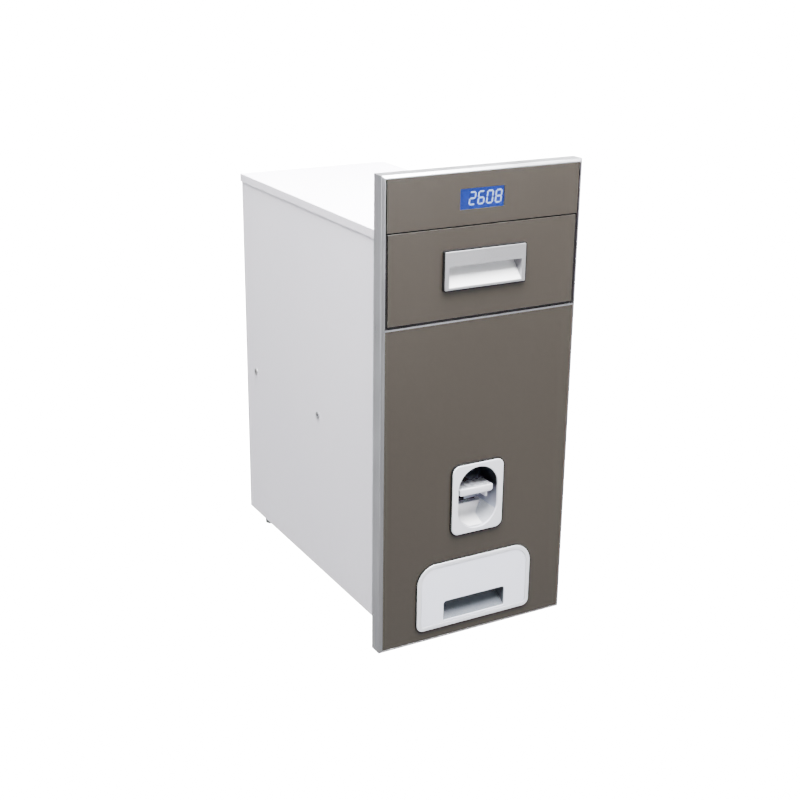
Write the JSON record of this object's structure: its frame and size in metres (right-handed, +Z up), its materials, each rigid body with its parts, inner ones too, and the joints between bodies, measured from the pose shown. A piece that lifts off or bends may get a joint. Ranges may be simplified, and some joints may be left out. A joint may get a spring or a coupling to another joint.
{
  "type": "built-in kitchen rice dispenser",
  "caption": "Built-in kitchen rice dispenser with framed glass front, feed drawer, dispensing lever, metering drum and pull-out rice box.",
  "frame": {"origin": "on the floor under the middle of the object", "axes": "front faces -Y, +X to the user's right, +Z up"},
  "size_m": [0.298, 0.51, 0.656],
  "materials": {
    "frame_aluminium": "satin anodised",
    "taupe_glass": "back-painted toughened glass, gloss",
    "white_steel": "white powder coat, fine texture",
    "silver_plastic": "silver metallic spray, satin",
    "black_seal": "matt",
    "feet_rubber": "matt",
    "zinc_steel": "zinc plated",
    "shaft_steel": "ground",
    "display_window": "clear blue window",
    "display_module": "blue backlit liquid crystal panel",
    "black_plastic": "fine matt grain",
    "board_green": "solder mask",
    "battery_wrap": "printed foil wrap",
    "hopper_steel": "brushed stainless sheet",
    "food_plastic": "off-white, satin",
    "acetal": "natural acetal, satin"
  },
  "bodies": {
    "cabinet": {"base_plate": "white_steel", "batteries": "battery_wrap", "battery_holder": "black_plastic", "circuit_board": "board_green", "display_backing": "white_steel", "display_glass": "taupe_glass", "display_lens": "display_window", "display_rear_cover": "black_plastic", "drawer_slide_channels": "zinc_steel", "feet": "feet_rubber", "foot_screws": "zinc_steel", "frame_bottom_rail": "frame_aluminium", "frame_corner_keys": "zinc_steel", "frame_left_stile": "frame_aluminium", "frame_right_stile": "frame_aluminium", "frame_screws": "zinc_steel", "frame_top_rail": "frame_aluminium", "hopper": "hopper_steel", "hopper_rails": "white_steel", "lcd_holder": "black_plastic", "lcd_panel": "display_module", "left_side_panel": "white_steel", "lever_cup": "silver_plastic", "lever_escutcheon": "silver_plastic", "lever_gasket": "black_seal", "lever_spring": "zinc_steel", "lever_well_cover": "black_plastic", "lower_backing_panel": "white_steel", "lower_cross_rail": "frame_aluminium", "lower_glass": "taupe_glass", "lower_glass_trim": "frame_aluminium", "metering_housing": "food_plastic", "metering_plates": "zinc_steel", "outlet_chute": "food_plastic", "rear_panel": "white_steel", "rear_panel_screws": "zinc_steel", "rice_box_bezel": "silver_plastic", "rice_box_gasket": "black_seal", "rice_box_guides": "acetal", "right_side_panel": "white_steel", "runner_nuts": "zinc_steel", "shaft_bushes": "acetal", "top_cover": "white_steel", "upper_cross_rail": "frame_aluminium"},
    "feed_drawer": {"drawer_glass": "taupe_glass", "drawer_backing": "white_steel", "pull_gasket": "black_seal", "drawer_pull": "silver_plastic", "drawer_tray": "food_plastic", "drawer_brackets": "zinc_steel", "drawer_slide_runners": "zinc_steel"},
    "lever": {"lever_paddle": "silver_plastic", "lever_arm": "zinc_steel", "lever_shaft": "shaft_steel", "sector_gear": "acetal"},
    "drum": {"metering_drum": "food_plastic", "drum_shaft": "shaft_steel", "drum_pinion": "acetal"},
    "rice_box": {"rice_box_front": "silver_plastic", "rice_box_tray": "food_plastic"}
  },
  "joints": [
    {"name": "feed_drawer_slide", "type": "slide", "parent": "cabinet", "child": "feed_drawer", "axis": [0, -1, 0], "range_m": [0, 0.2]},
    {"name": "rice_box_slide", "type": "slide", "parent": "cabinet", "child": "rice_box", "axis": [0, -1, 0], "range_m": [0, 0.13]},
    {"name": "lever_hinge", "type": "hinge", "parent": "cabinet", "child": "lever", "pos_m": [0, -0.185, 0.215], "axis": [1, 0, 0], "range_deg": [0, 34], "stiffness_Nm_per_rad": 0.5, "springref_deg": -28.65},
    {"name": "drum_spin", "type": "hinge", "parent": "cabinet", "child": "drum", "pos_m": [0, -0.113, 0.194], "axis": [1, 0, 0], "range_deg": [-136, 0]}
  ],
  "couplings": [
    {"joint": "drum_spin", "follows": "lever_hinge", "ratio": -4}
  ]
}
